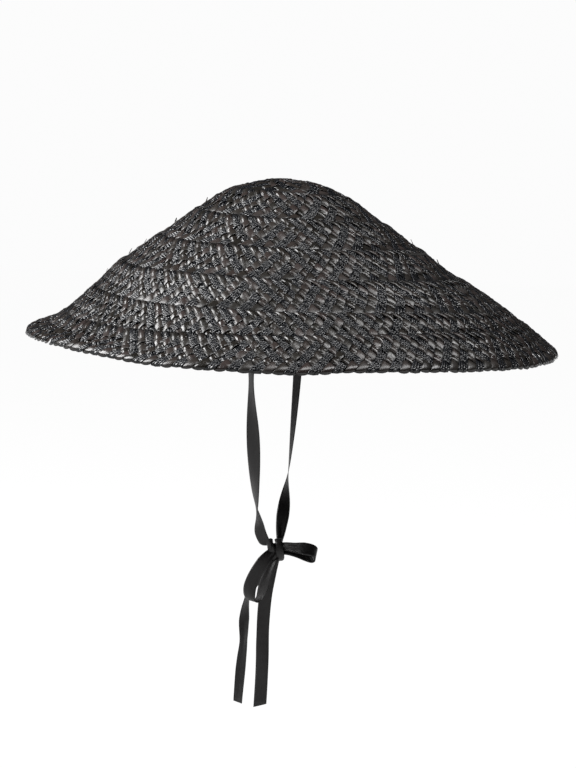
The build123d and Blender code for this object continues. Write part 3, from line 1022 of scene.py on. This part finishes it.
def band_mesh(name, centres, outward, low, high, thick, along, material):
    """An upright cloth strip on given centre points, with rounded edges."""
    lanes = np.linspace(0, 1, LANES)
    heights = low[:, None] + (high - low)[:, None] * lanes[None, :]
    thin = np.clip(1.1 - (2 * lanes - 1) ** 8 * 0.7, 0.2, 1) * thick / 2
    shells = []
    for way in (1, -1):
        shell = np.zeros((len(centres), len(lanes), 3))
        shell[:, :, :2] = (centres[:, None, :] + way * outward[:, None, :] * thin[None, :, None])[:, :, :2]
        shell[:, :, 2] = heights
        shells.append(shell)
    ring = np.concatenate((shells[0], shells[1][:, ::-1]), axis=1)
    band = strip_piece(name, ring, along, np.concatenate((lanes, lanes[::-1])), material)
    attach(band, "hat")
    return band


def oval_line(azimuth, inset):
    """Points and outward directions on the head opening's oval, inset metres inside it."""
    half = np.array((HEAD_HALF_X - inset, HEAD_HALF_Y - inset))
    points = np.stack((half[0] * np.cos(azimuth), half[1] * np.sin(azimuth)), axis=1)
    outward = unit_rows(np.stack((np.cos(azimuth) / half[0], np.sin(azimuth) / half[1]), axis=1))
    return np.pad(points, ((0, 0), (0, 1))), np.pad(outward, ((0, 0), (0, 1)))


def make_sweatband():
    """Grosgrain ribbon round the opening, lapped at the back, its edges a little wavy."""
    lap_turn = BAND_LAP / HEAD_HALF_X
    azimuth = np.linspace(math.radians(90) - lap_turn / 2, math.radians(450) + lap_turn / 2, 420)
    over = smooth_step(math.radians(450) - lap_turn, math.radians(450) - lap_turn * 0.4, azimuth)
    centres, outward = oval_line(azimuth, 0.0)
    easing = 0.00012 * np.sin(azimuth * 9 + 0.4) + 0.00010 * np.sin(azimuth * 17)
    centres = centres + outward * (BAND_OUT - over * LAP_STEP + easing)[:, None]
    along = distances(centres)
    low = 0.00015 * np.sin(azimuth * 7)
    high = BAND_HEIGHT + 0.0003 * np.sin(azimuth * 11 + 1)
    band = band_mesh("sweatband_ribbon", centres, outward, low, high, BAND_THICK, along, GROSGRAIN)
    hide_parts("sweatband")
    return band


def make_tie_ends(sweatband):
    """Each ribbon's sewn end, flat on the sweatband, with a rounded foot where the ribbon leaves it."""
    for side_name, sign in (("left", -1.0), ("right", 1.0)):
        y = np.linspace(TIE_Y - RIBBON_WIDTH / 2, TIE_Y + RIBBON_WIDTH / 2, 13)
        bow = np.sqrt(1 - (y / (HEAD_HALF_Y - TIE_END_INSET)) ** 2)
        x = sign * (HEAD_HALF_X - TIE_END_INSET) * bow
        centres = np.stack((x, y, np.zeros_like(y)), axis=1)
        outward = np.tile(np.array((sign, 0.0, 0.0)), (len(y), 1))
        drop = TIE_END_FOOT * np.sqrt(np.clip(1 - ((y - TIE_Y) / TIE_END_ARC) ** 2, 0, 1))
        low = TIE_END_LOW - drop
        high = TIE_END_HIGH + 0.0002 * np.sin(y * 900)
        name = f"tie_end_patch_{side_name}"
        strip = band_mesh(name, centres, outward, low, high, TIE_END_THICK, y, SATIN)
        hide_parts(f"tie_end_{side_name}")


lap_stitches()
make_tie_ends(make_sweatband())
for node_name, material in (
    ("bandeau", BUCKRAM), ("bandeau_tacks", THREAD), ("sweatband_stitching", THREAD),
    ("tie_tack_left", THREAD), ("tie_tack_right", THREAD),
):
    for material_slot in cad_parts[node_name].material_slots:
        material_slot.material = material


# ------------------------------------------------------------------ stage
# Each lamp: its name, degrees round from the view, elevation in radians, size and power
LAMPS = (("key", -90, 0.62, 0.9, 50), ("front", 20, 1.24, 0.6, 11.0), ("right", 75, 1.0, 0.6, 14))
LAMP_DISTANCE = 1.6
BACKDROP = (0.972, 0.972, 0.972)
ROOM_LIGHT = (0.043, 0.043, 0.045)
FLOOR_DROP = 0.12
FLOOR_GLOW = 0.965


def make_world():
    """A pale backdrop to look at, and a dimmer room for the light itself."""
    world = bpy.data.worlds.new("studio")
    world.use_nodes = True
    tree = world.node_tree
    seen = tree.nodes["Background"]
    seen.inputs[0].default_value = (*BACKDROP, 1)
    room = tree.nodes.new("ShaderNodeBackground")
    room.inputs[0].default_value = (*ROOM_LIGHT, 1)
    path = tree.nodes.new("ShaderNodeLightPath")
    mix = tree.nodes.new("ShaderNodeMixShader")
    tree.links.new(path.outputs["Is Camera Ray"], mix.inputs[0])
    tree.links.new(room.outputs[0], mix.inputs[1])
    tree.links.new(seen.outputs[0], mix.inputs[2])
    tree.links.new(mix.outputs[0], tree.nodes["World Output"].inputs[0])
    bpy.context.scene.world = world


def make_lamps():
    """Soft square lamps, all turned to the hat."""
    for name, degrees_round, elevation, size, power in LAMPS:
        light = bpy.data.lights.new(name, "AREA")
        light.size = size
        light.energy = power
        lamp = bpy.data.objects.new(name, light)
        away = heading(VIEW_AZIMUTH + math.radians(degrees_round), elevation)
        lamp.location = away * LAMP_DISTANCE
        lamp.rotation_mode = "QUATERNION"
        lamp.rotation_quaternion = (-away).to_track_quat("-Z", "Y")
        bpy.context.scene.collection.objects.link(lamp)


def make_stage():
    """A pale floor well below the hanging ties, and soft studio light."""
    bpy.ops.mesh.primitive_plane_add(size=12, location=(0, 0, CAD_LOW.z - FLOOR_DROP))
    floor = bpy.context.object
    floor.name = "floor"
    material, tree, shader = new_material("floor")
    shader.inputs["Base Color"].default_value = (0.06, 0.06, 0.06, 1)
    shader.inputs["Roughness"].default_value = 1.0
    shader.inputs["Specular IOR Level"].default_value = 0.0
    shader.inputs["Emission Color"].default_value = (1, 1, 1, 1)
    shader.inputs["Emission Strength"].default_value = FLOOR_GLOW
    floor.data.materials.append(material)
    make_world()
    make_lamps()
    bpy.context.scene.view_settings.view_transform = "Standard"


make_stage()
